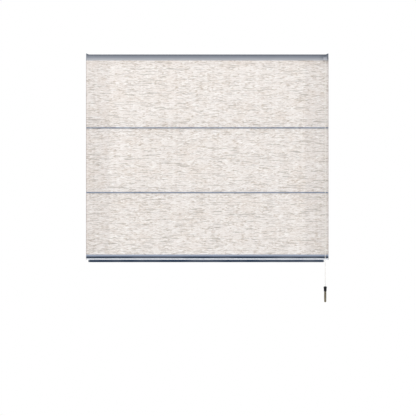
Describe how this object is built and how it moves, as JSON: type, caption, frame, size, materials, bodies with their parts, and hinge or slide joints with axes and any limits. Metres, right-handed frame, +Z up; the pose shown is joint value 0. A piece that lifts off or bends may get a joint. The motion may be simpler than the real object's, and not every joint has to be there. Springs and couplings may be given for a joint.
{
  "type": "roman blind",
  "caption": "Roman blind: a linen panel hung from a slim headrail, gathered by ribs and lift lines as a weighted pull cord is drawn, with a weighted bottom rail.",
  "frame": {"origin": "middle of the wall screws' pattern, on the wall plane behind the headrail", "axes": "+X along the width to the right as seen from the room, +Y into the wall, +Z up; the front faces -Y"},
  "size_m": [1, 0.0639, 1.026],
  "materials": {
    "slate_metal": "satin slate grey powder coat",
    "navy_metal": "satin dark slate powder coat",
    "linen": "slubbed plain weave, light filtering",
    "tape_white": "woven tape",
    "steel": "zinc plated",
    "batten_white": "pultruded glass fibre, white",
    "nylon_white": "moulded nylon",
    "nylon_slate": "moulded nylon, slate",
    "insert_white": "satin white extrusion",
    "cord_white": "braided polyester",
    "black_plastic": "moulded, semi gloss",
    "olive_wood": "turned hardwood, dark oiled"
  },
  "bodies": {
    "headrail": {"headrail": "slate_metal", "end_cap_left": "nylon_slate", "end_cap_right": "nylon_slate", "bracket_left": "steel", "bracket_right": "steel", "clamp_plate_left": "steel", "clamp_plate_right": "steel", "clamp_screws": "steel", "hook_tape": "tape_white", "loop_tape": "tape_white", "fabric": "linen", "lock_body": "nylon_white", "lock_pin": "steel", "lock_spring": "steel", "turn_block": "nylon_white", "cord_guide": "nylon_slate", "guide_axle": "steel", "pull_cord": "cord_white", "pulley_housing_1": "nylon_white", "pulley_axle_1": "steel", "rail_line_1": "cord_white", "lift_line_1": "cord_white", "pulley_housing_2": "nylon_white", "pulley_axle_2": "steel", "rail_line_2": "cord_white", "lift_line_2": "cord_white", "pulley_housing_3": "nylon_white", "pulley_axle_3": "steel", "rail_line_3": "cord_white", "lift_line_3": "cord_white"},
    "bottom_rail": {"bottom_rail": "navy_metal", "rail_end_left": "nylon_slate", "rail_end_right": "nylon_slate", "rail_insert": "insert_white", "weight_bar": "steel", "rib_bottom": "navy_metal", "rivets_bottom": "steel", "eyes_bottom": "nylon_white", "line_knots": "cord_white"},
    "upper_rib": {"rib_upper": "slate_metal", "batten_upper": "batten_white", "rivets_upper": "steel", "eyes_upper": "nylon_white"},
    "lower_rib": {"rib_lower": "slate_metal", "batten_lower": "batten_white", "rivets_lower": "steel", "eyes_lower": "nylon_white"},
    "tassel": {"cord_connector": "black_plastic", "cord_weight": "olive_wood"},
    "pulley_1": {"pulley_1": "nylon_white"},
    "pulley_2": {"pulley_2": "nylon_white"},
    "pulley_3": {"pulley_3": "nylon_white"},
    "guide_roller": {"guide_roller": "nylon_white"},
    "lock_cam": {"lock_cam": "steel"}
  },
  "joints": [
    {"name": "lift", "type": "slide", "parent": "headrail", "child": "bottom_rail", "axis": [0, 0, 1], "range_m": [0, 0.68], "deforming": ["fabric", "lift_line_1", "lift_line_2", "lift_line_3"]},
    {"name": "upper_rib_lift", "type": "slide", "parent": "headrail", "child": "upper_rib", "axis": [0, 0, 1], "range_m": [0, 0.2304]},
    {"name": "lower_rib_lift", "type": "slide", "parent": "headrail", "child": "lower_rib", "axis": [0, 0, 1], "range_m": [0, 0.4513]},
    {"name": "cord_pull", "type": "slide", "parent": "headrail", "child": "tassel", "axis": [0, 0, 1], "range_m": [-0.68, 0], "deforming": ["pull_cord"]},
    {"name": "pulley_1_spin", "type": "hinge", "parent": "headrail", "child": "pulley_1", "pos_m": [-0.393, -0.034, -0.003], "axis": [0, 1, 0], "range_deg": [0, 5566.9]},
    {"name": "pulley_2_spin", "type": "hinge", "parent": "headrail", "child": "pulley_2", "pos_m": [0.007, -0.034, -0.006], "axis": [0, 1, 0], "range_deg": [0, 5566.9]},
    {"name": "pulley_3_spin", "type": "hinge", "parent": "headrail", "child": "pulley_3", "pos_m": [0.407, -0.034, -0.009], "axis": [0, 1, 0], "range_deg": [0, 5566.9]},
    {"name": "guide_roller_spin", "type": "hinge", "parent": "headrail", "child": "guide_roller", "pos_m": [0.486, -0.051, -0.0025], "axis": [1, 0, 0], "range_deg": [0, 6388.1]},
    {"name": "lock_cam_tilt", "type": "hinge", "parent": "headrail", "child": "lock_cam", "pos_m": [0.454, -0.034, -0.0091], "axis": [0, 1, 0], "range_deg": [0, 35], "stiffness_Nm_per_rad": 0.004, "springref_deg": -17.19}
  ],
  "couplings": [
    {"joint": "upper_rib_lift", "follows": "lift", "ratio": 0.33816},
    {"joint": "lower_rib_lift", "follows": "lift", "ratio": 0.66294},
    {"joint": "cord_pull", "follows": "lift", "ratio": -1},
    {"joint": "pulley_1_spin", "follows": "lift", "rad_per_m": 142.86},
    {"joint": "pulley_2_spin", "follows": "lift", "rad_per_m": 142.86},
    {"joint": "pulley_3_spin", "follows": "lift", "rad_per_m": 142.86},
    {"joint": "guide_roller_spin", "follows": "lift", "rad_per_m": 163.93}
  ]
}
